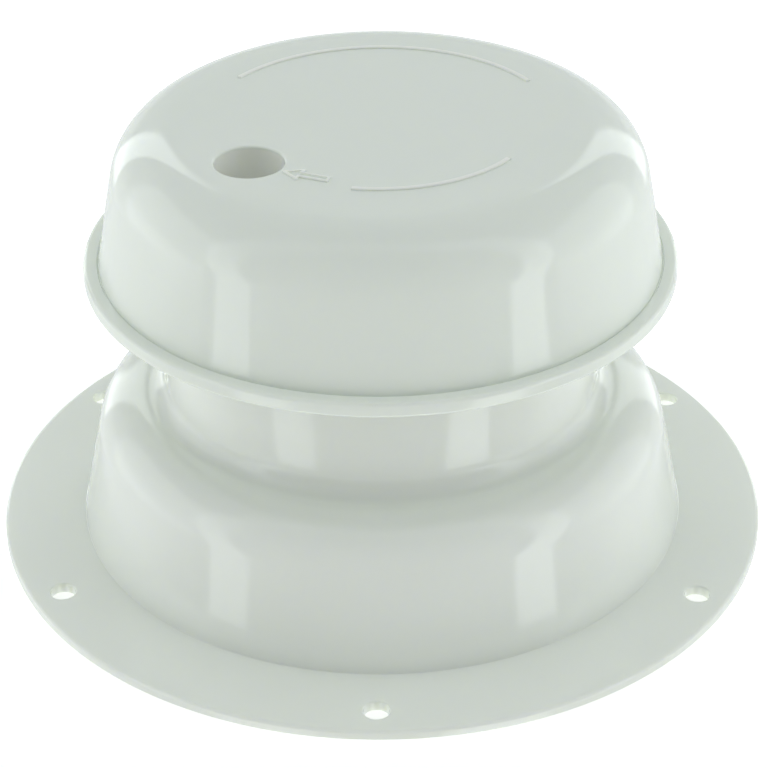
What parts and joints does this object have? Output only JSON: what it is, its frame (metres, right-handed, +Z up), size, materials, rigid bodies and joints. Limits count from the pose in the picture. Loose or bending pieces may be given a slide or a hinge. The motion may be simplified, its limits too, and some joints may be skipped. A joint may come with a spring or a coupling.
{
  "type": "roof vent cap",
  "caption": "Round roof vent for a plumbing pipe: flanged base with a collar, lift-off cap held by a screw in a deep well, and a stepped pipe seal.",
  "frame": {"origin": "centre of the flange's underside, where the vent stands on the roof", "axes": "+Z up along the vent's axis, away from the roof; -Y is the side that the picture shows, with the screw well at its front left; +X is to the right"},
  "size_m": [0.178, 0.178, 0.0998],
  "materials": {
    "base_plastic": "gloss moulded plastic",
    "cap_plastic": "gloss moulded plastic",
    "seal_rubber": "matt black rubber",
    "screw_steel": "bright stainless steel",
    "washer_steel": "stamped stainless steel"
  },
  "bodies": {
    "base": {"roof_base": "base_plastic", "pipe_seal": "seal_rubber"},
    "cap": {"cap": "cap_plastic"},
    "screw_carrier": {"cap_screw_washer": "washer_steel"},
    "screw": {"cap_screw": "screw_steel"}
  },
  "joints": [
    {"name": "cap_lift", "type": "slide", "parent": "base", "child": "cap", "axis": [0, 0, 1], "range_m": [0, 0.08]},
    {"name": "screw_rise", "type": "slide", "parent": "cap", "child": "screw_carrier", "axis": [0, 0, 1], "range_m": [0, 0.0127]},
    {"name": "screw_turn", "type": "hinge", "parent": "screw_carrier", "child": "screw", "pos_m": [-0.0274, -0.02013, 0.0821], "axis": [0, 0, 1], "range_deg": [0, 3240]}
  ],
  "couplings": [
    {"joint": "screw_turn", "follows": "screw_rise", "rad_per_m": 4452.6}
  ]
}
